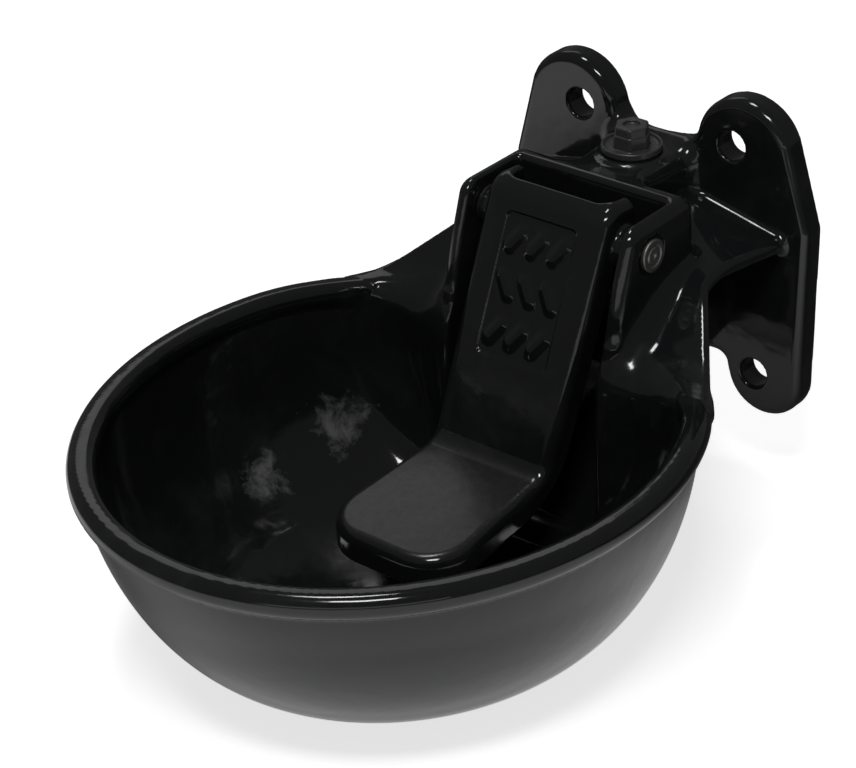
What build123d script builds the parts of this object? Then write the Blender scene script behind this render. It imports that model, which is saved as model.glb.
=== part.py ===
from build123d import *
import math
import os

# Cast-iron livestock drinking bowl with a tongue valve.
# Sizes are millimetres. The model is laid out from the centre of the rim's top plane, with +X to the right
# as one faces the wall, +Y towards the wall and +Z up. Each finished piece is then moved so that the origin
# is the point on the wall face midway between the two upper bolts.

# ---- where the bowl hangs
reach = 192.0            # rim centre to the wall face
rim_drop = 58.0          # upper bolts down to the rim's top plane

# ---- bowl
rim_half_width = 125.0   # outside of the rolled rim
bead_radius = 4.5        # rolled rim
bowl_stretch = 1.09      # length over width
bowl_wall = 5.0
bowl_top = 9.0           # the curved wall starts this far below the rim's top
bowl_depth = 98.0        # outside depth of the curved wall
bowl_lean = 6.2          # how far the lowest point lies behind the rim's centre
side_power = 4.0         # superellipse powers of the bowl's section
depth_power = 1.63

# ---- rear wall and sloping shoulder
rear_wall_y = 85.0       # inner face of the bowl's flat rear wall
casting_wall = 6.0
shoulder_foot_z = -8.6   # height of the shoulder where it leaves the rear wall
shoulder_slope = 0.64    # rise over run
shoulder_thickness = 7.0
shoulder_foot_half = 95.0
shoulder_neck_half = 62.0
shoulder_neck_y = 130.5
web_top = 24.0           # flat web between the shoulder and the back plate
web_end_half = 70.0

# ---- hood (the valve chamber's cheeks and crossbar)
hood_half = 47.0
hood_top = 51.0
hood_front_y = 104.0     # front of the cheeks at the top
hood_back_y = 144.0
cheek_thickness = 7.0
cheek_round = 7.0
crossbar_front_y = 136.0
crossbar_bevel = 5.0
chamber_back_floor_z = -38.0
chamber_sill_z = -82.0

# ---- neck, water way and ports
port_y = 164.0
neck_front_half = 19.0
neck_back_half = 22.5
water_way_radius = 8.0
port_radius = 10.3       # G1/2
port_depth = 15.0
port_boss_height = 0.6
port_boss_radius = 14.5
inlet_z = -62.0
inlet_boss_radius = 16.5

# ---- back plate
plate_thickness = 12.0
plate_edge_round = 4.0
upper_lug_x = 45.5
upper_lug_z = 56.0
upper_lug_radius = 24.3
lower_lug_x = 57.5
lower_lug_z = -50.0
lower_lug_radius = 19.2
plate_half = 79.0        # widest, where the web meets the plate
plate_shoulder_z = 24.0
plate_top_z = 54.5       # saddle edge between the upper lugs
plate_top_half = 21.0
plate_bottom_z = -45.0
plate_inner_round = 9.0
bolt_radius = 7.0
bolt_mouth_round = 1.5
upper_bolt_half = 40.3
lower_bolt_half = 53.0
lower_bolt_z = -49.3
pipe_radius = 30.5       # stall pipe that the back can saddle
pipe_saddle_depth = 6.0

# ---- paddle and its pin
pivot_y = 114.0
pivot_z = 36.0
paddle_top_y = 106.0
paddle_top_z = 56.0
paddle_bend_y = 58.0
paddle_bend_z = -50.5
paddle_tip_y = -15.0
paddle_tip_z = -56.0
paddle_top_half = 32.5
paddle_bend_half = 31.0
paddle_tip_half = 34.0
paddle_tip_round = 22.0
paddle_thickness = 6.0
paddle_skirt = 14.0      # depth of the folded side skirts
paddle_skirt_wall = 5.0
paddle_bend_round = 7.0
paddle_cap_reach = 15.0  # top edge turned back over the pin
panel_half = 18.5
panel_top_share = 0.90   # places of the recessed panel up the paddle's plate
panel_bottom_share = 0.28
panel_depth = 0.8
stud_rows = 3
stud_columns = 3
stud_radius = 3.2
stud_height = 1.1
pin_radius = 5.0
pin_running_gap = 0.06
pin_head_radius = 7.3
pin_head_height = 2.2
spot_face_depth = 1.0
spot_face_gap = 1.0
bush_radius = 6.5
bush_flange_radius = 8.8
bush_flange = 1.3
bush_length = 12.0
pivot_boss_radius = 9.3
cheek_gap = 0.5
washer_thickness = 1.6
washer_radius = 9.0
clip_thickness = 1.2
clip_radius = 7.6
clip_groove_radius = 4.1
pin_tail = 2.2

# ---- tongue valve, along Y
valve_z = -5.0
valve_pad_radius = 16.0
valve_pad_height = 4.0
valve_thread_radius = 10.4
valve_bore_gap = 0.1
valve_gasket_thickness = 1.0
valve_hex = 26.0         # across flats
valve_hex_height = 8.0
valve_shank = 19.0
valve_water_radius = 6.4
seat_height = 0.8
seat_inner = 5.6
seat_outer = 7.6
nozzle_radius = 9.0
nozzle_socket = 5.0
nozzle_length = 15.0
nozzle_wall = 2.6
nozzle_outlets = 6
stem_radius = 2.4
stem_guide_gap = 0.1
stem_tip_reach = 15.5    # button beyond the nozzle's mouth
stem_end = 8.2           # stem beyond the seal disc
button_radius = 4.6
button_length = 6.0
button_dome = 8.0
pusher_radius = 7.0
pusher_gap = 0.3
seal_radius = 8.0
seal_thickness = 3.0
seal_washer_thickness = 1.0
seal_washer_radius = 6.8
nut_hex = 8.0
nut_height = 3.5
cage_radius = 9.3
cage_wall = 1.0
cage_length = 20.0
cage_end = 1.5
cage_windows = 4
strainer_thickness = 0.4
strainer_gap = 0.05
spring_radius = 6.1
spring_wire = 1.0
spring_turns = 5

# ---- blanking plug
gasket_thickness = 1.2
plug_flange_radius = 13.5
plug_flange_thickness = 1.6
plug_rim_height = 1.4
plug_rim_wall = 1.6
plug_hex = 15.0
plug_hex_height = 10.2
plug_shank = 11.0
plug_thread_gap = 0.15

# ---- worked out from the above
hood_inner_half = hood_half - cheek_thickness
shoulder_top_y = rear_wall_y + (web_top - shoulder_foot_z) / shoulder_slope
plate_front_y = reach - plate_thickness
valve_face_y = crossbar_front_y - valve_pad_height
valve_seat_y = valve_face_y + valve_shank
seal_y = valve_seat_y + seat_height
nozzle_mouth_y = valve_face_y - valve_gasket_thickness - valve_hex_height + nozzle_socket - nozzle_length
stem_tip_y = nozzle_mouth_y - stem_tip_reach
paddle_lean = math.atan2(paddle_top_y - paddle_bend_y, paddle_top_z - paddle_bend_z)
port_top_z = hood_top + port_boss_height


def to_wall_frame(shape):
    """Move a piece from the rim's frame to the wall frame."""
    return Pos(0, -reach, -rim_drop) * shape


def yz_prism(points, low_x, high_x):
    """Straight bar along X with the section given in Y and Z."""
    section = make_face(Polyline(*points, close=True))
    return Pos(low_x, 0, 0) * extrude(Plane.YZ * section, high_x - low_x)


def xy_prism(points, low_z, high_z):
    """Upright prism on the plan outline given in X and Y."""
    return Pos(0, 0, low_z) * extrude(make_face(Polyline(*points, close=True)), high_z - low_z)


def rod_x(radius, low_x, high_x, y, z):
    """Round bar along X."""
    bar = Cylinder(radius, high_x - low_x, align=(Align.CENTER, Align.CENTER, Align.MIN))
    return Pos(low_x, y, z) * Rot(0, 90, 0) * bar


def rod_y(radius, low_y, high_y, x=0.0, z=valve_z):
    """Round bar along Y."""
    bar = Cylinder(radius, high_y - low_y, align=(Align.CENTER, Align.CENTER, Align.MIN))
    return Pos(x, low_y, z) * Rot(-90, 0, 0) * bar


def rod_z(radius, low_z, high_z, x=0.0, y=port_y):
    """Upright round bar."""
    bar = Cylinder(radius, high_z - low_z, align=(Align.CENTER, Align.CENTER, Align.MIN))
    return Pos(x, y, low_z) * bar


def turned_y(profile):
    """Body turned about the valve's axis from (distance along Y, radius) points."""
    face = make_face(Polyline(*[(radius, y) for y, radius in profile], close=True))
    return Pos(0, 0, valve_z) * revolve(face, Axis.Y)


def hexagon_y(across, low_y, high_y):
    """Hexagonal bar along the valve's axis."""
    section = RegularPolygon(across / 2, 6, major_radius=False)
    return Pos(0, low_y, valve_z) * Rot(-90, 0, 0) * extrude(section, high_y - low_y)


# ------------------------------------------------------------------ bowl casting
def bowl_curve(half_width, depth):
    """Half section of the bowl's wall: (r / half_width)^side_power + (z / depth)^depth_power = 1."""
    shares = [0.0, 0.2, 0.4, 0.6, 0.75, 0.87, 0.95, 0.988, 1.0]
    points = []
    for share in shares:
        sink = depth * (1 - share**side_power) ** (1 / depth_power)
        points.append((half_width * share, -bowl_top - sink))
    return Spline(*points, tangents=[(1, 0), (0, 1)])


def lean(body):
    """Stretch along Y, and shift back in proportion to the depth below bowl_top."""
    drift = -bowl_lean / bowl_depth
    matrix = Matrix([[1, 0, 0, 0], [0, bowl_stretch, drift, drift * bowl_top], [0, 0, 1, 0]])
    return body.transform_geometry(matrix)


def unleaned_prism(points, half_width):
    """Bar along X that lean() turns into one with the given section in Y and Z."""
    drift = -bowl_lean / bowl_depth
    before = [((y - drift * (z + bowl_top)) / bowl_stretch, z) for y, z in points]
    return yz_prism(before, -half_width, half_width)


def bowl_shell():
    """The bowl with its rolled rim, cut off behind its flat rear wall and open into the chamber."""
    outer_half = rim_half_width - bead_radius
    inner_half = outer_half - bowl_wall
    outer = bowl_curve(outer_half, bowl_depth)
    inner = bowl_curve(inner_half, bowl_depth - bowl_wall)
    bead = ThreePointArc((outer_half, -bowl_top), (rim_half_width, -bead_radius), (outer_half, 0))
    lip = RadiusArc((outer_half, 0), (inner_half, -bowl_wall), -bowl_wall)
    inner_side = Line((inner_half, -bowl_wall), (inner_half, -bowl_top))
    foot = Line(inner @ 0, outer @ 0)
    shell = revolve(Plane.XZ * make_face(outer + bead + lip + inner_side + inner + foot), Axis.Z)
    cup_lid = Polyline((outer_half, -bowl_top), (0, -bowl_top), outer @ 0)
    cup = revolve(Plane.XZ * make_face(outer + cup_lid), Axis.Z)
    far = 2 * rim_half_width
    rear_y = rear_wall_y + casting_wall
    in_front = unleaned_prism([(-far, -far), (rear_y, -far), (rear_y, far), (-far, far)], far)
    wall = unleaned_prism([(rear_wall_y, -far), (rear_y, -far), (rear_y, far), (rear_wall_y, far)], far)
    opening = unleaned_prism(chamber_outline(), hood_inner_half)
    return lean((shell & in_front) + (cup & wall) - opening)


def shoulder():
    """Sloping shoulder from the rear wall up to the web, and the web back to the plate."""
    end_y = plate_front_y + 1
    foot_drop = shoulder_foot_z - shoulder_thickness
    top = [(rear_wall_y, shoulder_foot_z), (shoulder_top_y, web_top), (end_y, web_top)]
    bottom_z = web_top - shoulder_thickness
    under = [(end_y, bottom_z), (shoulder_top_y + 2, bottom_z), (rear_wall_y + 2, foot_drop), (rear_wall_y, foot_drop)]
    slab = yz_prism(top + under, -rim_half_width, rim_half_width)
    right = [(shoulder_foot_half, rear_wall_y), (shoulder_neck_half, shoulder_neck_y), (web_end_half, end_y)]
    left = [(-x, y) for x, y in reversed(right)]
    plan = xy_prism(right + left, foot_drop, hood_top)
    return slab & plan


def hood():
    """Outer block of the valve chamber: both cheeks, crossbar and back wall."""
    low_y = rear_wall_y + casting_wall
    outline = [
        (rear_wall_y - 1.5, shoulder_foot_z - 2), (hood_front_y, hood_top), (hood_back_y, hood_top),
        (hood_back_y, chamber_back_floor_z - casting_wall), (low_y, chamber_sill_z - casting_wall),
        (rear_wall_y, chamber_sill_z - casting_wall),
    ]
    block = yz_prism(outline, -hood_half, hood_half)
    top_edges = block.edges().filter_by_position(Axis.Z, hood_top - 0.01, hood_top + 0.01)
    return fillet(top_edges, cheek_round)


def chamber_outline():
    """Side view in Y and Z of the space where the paddle hangs, open to the front and the top."""
    high = hood_top + 20
    return [
        (rear_wall_y - 12, high), (crossbar_front_y, high), (crossbar_front_y, chamber_back_floor_z),
        (rear_wall_y + 3, chamber_sill_z), (rear_wall_y - 12, chamber_sill_z),
    ]


def neck():
    """Column that carries the water way, from the inlet below to the plugged port on top."""
    plan = [
        (-neck_front_half, crossbar_front_y + 1), (neck_front_half, crossbar_front_y + 1),
        (neck_back_half, plate_front_y + 1), (-neck_back_half, plate_front_y + 1),
    ]
    column = xy_prism(plan, inlet_z + port_depth, hood_top)
    inlet_boss = rod_z(inlet_boss_radius, inlet_z, inlet_z + port_depth + 10)
    port_boss = rod_z(port_boss_radius, hood_top - 1, port_top_z)
    return column + inlet_boss + port_boss


def plate_outline():
    """Front view of the back plate in X and Z, with four lugs."""
    half = [
        (0, plate_top_z), (plate_top_half, plate_top_z), (upper_lug_x, upper_lug_z),
        (upper_lug_x + upper_lug_radius, upper_lug_z + 2), (plate_half, plate_shoulder_z),
        (lower_lug_x + lower_lug_radius, lower_lug_z), (lower_lug_x, lower_lug_z),
        (lower_lug_x - lower_lug_radius + 2, plate_bottom_z), (0, plate_bottom_z),
    ]
    right = make_face(Polyline(*half, close=True))
    right = right + Pos(upper_lug_x, upper_lug_z) * Circle(upper_lug_radius)
    right = right + Pos(lower_lug_x, lower_lug_z) * Circle(lower_lug_radius)
    return right + mirror(right, Plane.YZ)


def back_plate():
    """Back plate with rounded front edges and a pipe saddle behind."""
    plate = Pos(0, reach, 0) * extrude(Plane.XZ * plate_outline(), plate_thickness)
    front = plate.faces().filter_by(Axis.Y).sort_by(Axis.Y)[0]
    plate = fillet(front.outer_wire().edges(), plate_edge_round)
    saddle_y = reach - pipe_saddle_depth + pipe_radius
    return plate - rod_z(pipe_radius, lower_lug_z * 2, upper_lug_z * 2, y=saddle_y)


def bolt_holes():
    """Four clearance holes, each a bar with a rounded flare where it leaves the plate's front."""
    flare = bolt_mouth_round
    corner = (bolt_radius + flare, plate_front_y + flare)
    mouth = ThreePointArc(
        (bolt_radius, corner[1]),
        (corner[0] - flare * math.cos(math.pi / 4), corner[1] - flare * math.sin(math.pi / 4)),
        (corner[0], plate_front_y))
    rest = Polyline((corner[0], plate_front_y), (corner[0], plate_front_y - 5), (0, plate_front_y - 5),
                    (0, reach + 5), (bolt_radius, reach + 5), (bolt_radius, corner[1]))
    cutter = revolve(make_face(mouth + rest), Axis.Y)
    places = [(upper_bolt_half, rim_drop), (lower_bolt_half, lower_bolt_z)]
    return [Pos(side * x, 0, z) * cutter for x, z in places for side in (-1, 1)]


def water_ways():
    """Upright way, its two threaded ports and the bore of the tongue valve."""
    way = rod_z(water_way_radius, inlet_z, port_top_z)
    top_port = rod_z(port_radius, port_top_z - port_depth, port_top_z + 5)
    inlet = rod_z(port_radius, inlet_z - 5, inlet_z + port_depth)
    bore_end = valve_seat_y + cage_length + 0.8
    bore = rod_y(valve_thread_radius + valve_bore_gap, valve_face_y - 5, bore_end)
    return way + top_port + inlet + bore


def bowl_casting():
    body = shoulder() + hood() - yz_prism(chamber_outline(), -hood_inner_half, hood_inner_half)
    body = body + rod_y(valve_pad_radius, valve_face_y, crossbar_front_y + 1)
    body = body + neck() + back_plate()
    body = body - water_ways()
    for hole in bolt_holes():
        body = body - hole
    body = body - rod_x(pin_radius, -hood_half - 5, hood_half + 5, pivot_y, pivot_z)
    spot = rod_x(pin_head_radius + spot_face_gap, hood_half - spot_face_depth, hood_half + 5, pivot_y, pivot_z)
    return bowl_shell() + (body - spot)


# ------------------------------------------------------------------ paddle and its pin
def paddle_section(inset, depth):
    """Side view of the paddle in Y and Z: the face, set back by inset, and a band of the given depth."""
    path = [
        (paddle_tip_y, paddle_tip_z), (paddle_bend_y, paddle_bend_z), (paddle_top_y, paddle_top_z),
        (paddle_top_y + paddle_cap_reach, paddle_top_z - 1),
    ]
    face = offset_path(path, inset)
    back = offset_path(path, inset + depth)
    return face, back


def offset_path(path, inset):
    """Open polyline moved by inset to its right-hand side, which is the paddle's underside."""
    normals = []
    for (y0, z0), (y1, z1) in zip(path, path[1:]):
        length = math.hypot(y1 - y0, z1 - z0)
        normals.append(((z1 - z0) / length, -(y1 - y0) / length))
    moved = [(path[0][0] + inset * normals[0][0], path[0][1] + inset * normals[0][1])]
    for (ny0, nz0), (ny1, nz1), (y, z) in zip(normals, normals[1:], path[1:-1]):
        scale = inset / (1 + ny0 * ny1 + nz0 * nz1)
        moved.append((y + scale * (ny0 + ny1), z + scale * (nz0 + nz1)))
    moved.append((path[-1][0] + inset * normals[-1][0], path[-1][1] + inset * normals[-1][1]))
    return moved


def paddle_plan(inset):
    """Plan outline of the paddle: it widens to the tongue, whose end is rounded."""
    tip = paddle_tip_y + inset
    right = [
        (paddle_tip_half - inset, tip), (paddle_tip_half - inset, paddle_tip_y + paddle_tip_round),
        (paddle_bend_half - inset, paddle_bend_y), (paddle_top_half - inset, paddle_top_y),
        (paddle_top_half - inset, hood_back_y),
    ]
    left = [(-x, y) for x, y in reversed(right)]
    outline = make_face(Polyline(*right, *left, close=True))
    corners = [v for v in outline.vertices() if abs(v.Y - tip) < 0.01]
    outline = fillet(corners, paddle_tip_round - inset)
    return Pos(0, 0, -rim_half_width) * extrude(outline, 2 * rim_half_width)


def paddle_body():
    """Bent plate with side skirts: a thick bar, hollowed from behind."""
    face, back = paddle_section(0, paddle_skirt)
    solid = yz_prism(face + back[::-1], -rim_half_width, rim_half_width) & paddle_plan(0)
    outer_edges = solid.edges().filter_by_position(Axis.Z, paddle_top_z - 0.01, paddle_top_z + 0.01)
    solid = fillet(outer_edges, paddle_bend_round)
    inner_face, inner_back = paddle_section(paddle_thickness, 3 * paddle_skirt)
    hollow = yz_prism(inner_face + inner_back[::-1], -rim_half_width, rim_half_width)
    return solid - (hollow & paddle_plan(paddle_skirt_wall))


def plate_place(share, x=0.0, lift=0.0):
    """Point on the paddle's front face, share of the way from the bend to the top, turned to face outwards."""
    y = paddle_bend_y + share * (paddle_top_y - paddle_bend_y)
    z = paddle_bend_z + share * (paddle_top_z - paddle_bend_z)
    lean_degrees = math.degrees(paddle_lean)
    return Pos(x, y, z) * Rot(90 - lean_degrees, 0, 0) * Pos(0, 0, lift)


def grip_studs():
    """Recess in the paddle's face and the rows of raised studs that stand in it."""
    plate_length = math.hypot(paddle_top_y - paddle_bend_y, paddle_top_z - paddle_bend_z)
    middle = (panel_top_share + panel_bottom_share) / 2
    height = (panel_top_share - panel_bottom_share) * plate_length
    recess = plate_place(middle) * Box(2 * panel_half, height, 2 * panel_depth)
    studs = []
    for row in range(stud_rows):
        share = panel_bottom_share + (row + 0.5) / stud_rows * (panel_top_share - panel_bottom_share)
        for column in range(stud_columns):
            x = (column - (stud_columns - 1) / 2) * 2 * panel_half / stud_columns
            studs.append(plate_place(share, x, -panel_depth - 0.5) * Cylinder(
                stud_radius, stud_height + 0.5, align=(Align.CENTER, Align.CENTER, Align.MIN)))
    return recess, studs


def paddle():
    body = paddle_body()
    recess, studs = grip_studs()
    body = body - recess
    for stud in studs:
        body = body + stud
    boss_end = hood_inner_half - cheek_gap - bush_flange
    for side in (-1, 1):
        low, high = sorted((side * (paddle_top_half - paddle_skirt_wall - 2), side * boss_end))
        body = body + rod_x(pivot_boss_radius, low, high, pivot_y, pivot_z)
    bore = rod_x(bush_radius, -hood_half, hood_half, pivot_y, pivot_z)
    face_y = paddle_bend_y + (valve_z - paddle_bend_z) * math.tan(paddle_lean)
    pusher = rod_y(pusher_radius, face_y + 3, stem_tip_y - pusher_gap)
    return (body + pusher) - bore


def paddle_bush(side):
    """Flanged plastic bush pressed into one pivot boss."""
    boss_end = hood_inner_half - cheek_gap - bush_flange
    sleeve = rod_x(bush_radius, boss_end - bush_length, boss_end, pivot_y, pivot_z)
    flange = rod_x(bush_flange_radius, boss_end, boss_end + bush_flange, pivot_y, pivot_z)
    bore = rod_x(pin_radius + pin_running_gap, 0, hood_half, pivot_y, pivot_z)
    bush = (sleeve + flange) - bore
    return bush if side > 0 else mirror(bush, Plane.YZ)


def pivot_pin():
    """Turned pin: domed head with a ring groove and a centre dimple, clip groove at the far end."""
    head_low = hood_half - spot_face_depth
    head_high = head_low + pin_head_height
    tail_end = -(hood_half + washer_thickness + clip_thickness + pin_tail)
    profile = [
        (tail_end, 0), (tail_end, pin_radius - 1), (tail_end + 1, pin_radius),
        (-(hood_half + washer_thickness + clip_thickness), pin_radius),
        (-(hood_half + washer_thickness + clip_thickness), clip_groove_radius),
        (-(hood_half + washer_thickness), clip_groove_radius), (-(hood_half + washer_thickness), pin_radius),
        (head_low, pin_radius), (head_low, pin_head_radius), (head_high - 0.8, pin_head_radius),
        (head_high - 0.2, pin_head_radius - 1), (head_high, pin_head_radius - 2.6),
        (head_high - 0.7, pin_head_radius - 3), (head_high - 0.7, pin_head_radius - 4),
        (head_high, pin_head_radius - 4.4), (head_high, 1.4), (head_high - 0.9, 0),
    ]
    face = make_face(Polyline(*profile, close=True))
    return Pos(0, pivot_y, pivot_z) * revolve(face, Axis.X)


def pin_washer():
    ring = rod_x(washer_radius, -hood_half - washer_thickness, -hood_half, pivot_y, pivot_z)
    return ring - rod_x(pin_radius + 0.15, -hood_half - 5, -hood_half + 5, pivot_y, pivot_z)


def pin_clip():
    """Retaining clip: a ring with one open side and three teeth that grip the groove."""
    low = -(hood_half + washer_thickness + clip_thickness)
    ring = rod_x(clip_radius, low, low + clip_thickness, pivot_y, pivot_z)
    ring = ring - rod_x(pin_radius + 0.6, low - 1, low + 2, pivot_y, pivot_z)
    slot = Pos(low + clip_thickness / 2, pivot_y, pivot_z - clip_radius) * Box(3, 2 * clip_groove_radius, 2 * clip_radius)
    ring = ring - slot
    for turn in (-75, 0, 75):
        tooth = Pos(low + clip_thickness / 2, 0, clip_groove_radius + 1.4) * Box(clip_thickness, 2.4, 2.8)
        ring = ring + Pos(0, pivot_y, pivot_z) * Rot(turn, 0, 0) * tooth
    return ring - rod_x(clip_groove_radius, low - 1, low + 2, pivot_y, pivot_z)


# ------------------------------------------------------------------ tongue valve
def valve_gasket():
    ring = rod_y(valve_hex / 2, valve_face_y - valve_gasket_thickness, valve_face_y)
    return ring - rod_y(valve_thread_radius + 0.2, valve_face_y - 5, valve_face_y + 5)


def valve_body():
    """Brass body: hexagon, threaded shank, stepped bore and the raised seat at its inner end."""
    collar_high = valve_face_y - valve_gasket_thickness
    collar_low = collar_high - valve_hex_height
    body = hexagon_y(valve_hex, collar_low, collar_high)
    body = body & rod_y(valve_hex * 0.56, collar_low, collar_high)
    body = body + rod_y(valve_thread_radius, collar_high - 1, valve_seat_y)
    body = body + rod_y(seat_outer, valve_seat_y - 1, seal_y)
    body = body - rod_y(seat_inner, collar_low - 1, seal_y + 1)
    body = body - rod_y(valve_water_radius, collar_low - 1, valve_seat_y - 3)
    return body - rod_y(nozzle_radius, collar_low - 1, collar_low + nozzle_socket)


def valve_nozzle():
    """Plastic nozzle pushed into the hexagon: guides the stem and spreads the water."""
    socket_end = valve_face_y - valve_gasket_thickness - valve_hex_height + nozzle_socket
    mouth = socket_end - nozzle_length
    outside = [(socket_end, 0), (socket_end, nozzle_radius), (mouth + 5, nozzle_radius), (mouth, nozzle_radius - 1.8), (mouth, 0)]
    inside = [
        (socket_end + 1, 0), (socket_end + 1, nozzle_radius - nozzle_wall),
        (mouth + 2.5, nozzle_radius - nozzle_wall), (mouth + 2.5, 0),
    ]
    nozzle = turned_y(outside) - turned_y(inside)
    nozzle = nozzle - rod_y(stem_radius + stem_guide_gap, mouth - 1, mouth + 4)
    for step in range(nozzle_outlets):
        angle = 2 * math.pi * step / nozzle_outlets
        x = 4.5 * math.cos(angle)
        z = valve_z + 4.5 * math.sin(angle)
        nozzle = nozzle - rod_y(1.3, mouth - 1, mouth + 4, x=x, z=z)
    return nozzle


def valve_stem():
    """Stem with a collar that the seal disc is clamped against."""
    tip = stem_tip_y + button_length - 2
    end = seal_y + seal_thickness + stem_end
    stem = rod_y(stem_radius, tip, end)
    return stem + rod_y(stem_radius + 1.6, seal_y - 1.5, seal_y)


def stem_button():
    """Domed plastic cap on the stem's tip, which the paddle pushes."""
    cap = rod_y(button_radius, stem_tip_y, stem_tip_y + button_length)
    dome = Pos(0, stem_tip_y + button_dome, valve_z) * Sphere(button_dome)
    back = rod_y(button_radius, stem_tip_y + 2, stem_tip_y + button_length)
    cap = (cap & dome) + back
    return cap - rod_y(stem_radius, stem_tip_y + button_length - 2, stem_tip_y + button_length + 1)


def seal_disc():
    disc = rod_y(seal_radius, seal_y, seal_y + seal_thickness)
    return disc - rod_y(stem_radius, seal_y - 1, seal_y + seal_thickness + 1)


def seal_washer():
    low = seal_y + seal_thickness
    ring = rod_y(seal_washer_radius, low, low + seal_washer_thickness)
    return ring - rod_y(stem_radius, low - 1, low + 3)


def stem_nut():
    low = seal_y + seal_thickness + seal_washer_thickness
    nut = hexagon_y(nut_hex, low, low + nut_height)
    nut = nut & rod_y(nut_hex * 0.56, low, low + nut_height)
    return nut - rod_y(stem_radius, low - 1, low + nut_height + 1)


def spring_cage():
    """Slotted cup on the body's inner end: it holds the spring and the strainer."""
    end = valve_seat_y + cage_length
    cup = rod_y(cage_radius, valve_seat_y, end) - rod_y(cage_radius - cage_wall, valve_seat_y - 1, end - cage_end)
    cup = cup + (rod_y(valve_thread_radius, end - cage_end, end))
    for step in range(cage_windows):
        angle = 180 * (step + 0.5) / cage_windows * 2
        window = Pos(0, valve_seat_y + cage_length / 2, valve_z) * Rot(0, angle, 0)
        cup = cup - window * Pos(cage_radius, 0, 0) * Box(6, cage_length - 7, 8)
    return cup - rod_y(stem_radius + 0.6, end - 5, end + 5)


def strainer():
    low = valve_seat_y + 0.5
    high = valve_seat_y + cage_length - cage_end
    radius = cage_radius + strainer_gap
    return rod_y(radius + strainer_thickness, low, high) - rod_y(radius, low - 1, high + 1)


def return_spring():
    """Compression spring between the seal's washer and the end of the cage."""
    low = seal_y + seal_thickness + seal_washer_thickness + spring_wire / 2
    high = valve_seat_y + cage_length - cage_end - spring_wire / 2
    coil = Helix((high - low) / spring_turns, high - low, spring_radius)
    wire = sweep(Plane(coil @ 0, z_dir=coil % 0) * Circle(spring_wire / 2), coil)
    return Pos(0, low, valve_z) * Rot(-90, 0, 0) * wire


# ------------------------------------------------------------------ blanking plug
def plug_gasket():
    ring = rod_z(plug_flange_radius - 1, port_top_z, port_top_z + gasket_thickness)
    return ring - rod_z(port_radius + 0.1, port_top_z - 1, port_top_z + 5)


def top_plug():
    """Plastic blanking plug: hexagon, dished flange with an upturned rim, shank."""
    flange_z = port_top_z + gasket_thickness
    dish_z = flange_z + plug_flange_thickness
    rim_z = dish_z + plug_rim_height
    inner = plug_flange_radius - plug_rim_wall
    profile = [
        (0, flange_z), (plug_flange_radius - 2, flange_z), (plug_flange_radius, dish_z),
        (plug_flange_radius, rim_z), (inner, rim_z), (inner - 1, dish_z), (0, dish_z),
    ]
    plug = revolve(Plane.XZ * make_face(Polyline(*profile, close=True)), Axis.Z)
    head = extrude(RegularPolygon(plug_hex / 2, 6, major_radius=False), plug_hex_height)
    head = chamfer(head.faces().sort_by(Axis.Z)[-1].edges(), 0.6)
    plug = plug + Pos(0, 0, dish_z) * head
    shank = rod_z(port_radius - plug_thread_gap, flange_z - plug_shank, flange_z + 1, y=0)
    hollow = rod_z(port_radius - 3, flange_z - plug_shank - 1, flange_z - 1, y=0)
    return Pos(0, port_y, 0) * (plug + shank - hollow)


# ------------------------------------------------------------------ build
PARTS = {
    "bowl_casting": bowl_casting,
    "paddle": paddle,
    "paddle_bush_left": lambda: paddle_bush(-1),
    "paddle_bush_right": lambda: paddle_bush(1),
    "pivot_pin": pivot_pin,
    "pin_washer": pin_washer,
    "pin_clip": pin_clip,
    "valve_body": valve_body,
    "valve_gasket": valve_gasket,
    "valve_nozzle": valve_nozzle,
    "valve_stem": valve_stem,
    "stem_button": stem_button,
    "seal_disc": seal_disc,
    "seal_washer": seal_washer,
    "stem_nut": stem_nut,
    "spring_cage": spring_cage,
    "strainer": strainer,
    "return_spring": return_spring,
    "plug_gasket": plug_gasket,
    "top_plug": top_plug,
}

os.makedirs("parts", exist_ok=True)
for name, make in PARTS.items():
    piece = to_wall_frame(make())
    piece.label = name
    export_step(piece, f"parts/{name}.step")
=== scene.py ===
import math

import bpy
import numpy as np
from mathutils import Matrix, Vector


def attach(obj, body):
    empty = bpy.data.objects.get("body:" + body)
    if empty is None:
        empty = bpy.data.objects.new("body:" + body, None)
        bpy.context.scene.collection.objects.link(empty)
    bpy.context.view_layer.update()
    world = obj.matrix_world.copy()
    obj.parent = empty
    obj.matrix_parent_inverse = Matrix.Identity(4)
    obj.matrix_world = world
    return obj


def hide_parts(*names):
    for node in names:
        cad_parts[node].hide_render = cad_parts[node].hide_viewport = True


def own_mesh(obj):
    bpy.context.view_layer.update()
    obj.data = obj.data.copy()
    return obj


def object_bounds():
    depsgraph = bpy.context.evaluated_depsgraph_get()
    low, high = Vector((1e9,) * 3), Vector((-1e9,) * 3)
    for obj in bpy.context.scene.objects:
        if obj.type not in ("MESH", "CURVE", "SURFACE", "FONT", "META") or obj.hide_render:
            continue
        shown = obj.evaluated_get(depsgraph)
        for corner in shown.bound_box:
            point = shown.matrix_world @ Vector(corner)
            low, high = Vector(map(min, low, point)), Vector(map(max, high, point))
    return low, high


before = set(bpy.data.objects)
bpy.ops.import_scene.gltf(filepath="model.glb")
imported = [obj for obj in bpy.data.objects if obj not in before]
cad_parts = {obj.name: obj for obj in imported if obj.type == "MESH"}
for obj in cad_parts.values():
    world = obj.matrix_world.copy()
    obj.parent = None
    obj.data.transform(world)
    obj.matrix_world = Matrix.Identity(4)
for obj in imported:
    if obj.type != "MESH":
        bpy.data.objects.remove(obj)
cad_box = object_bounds()

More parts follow.
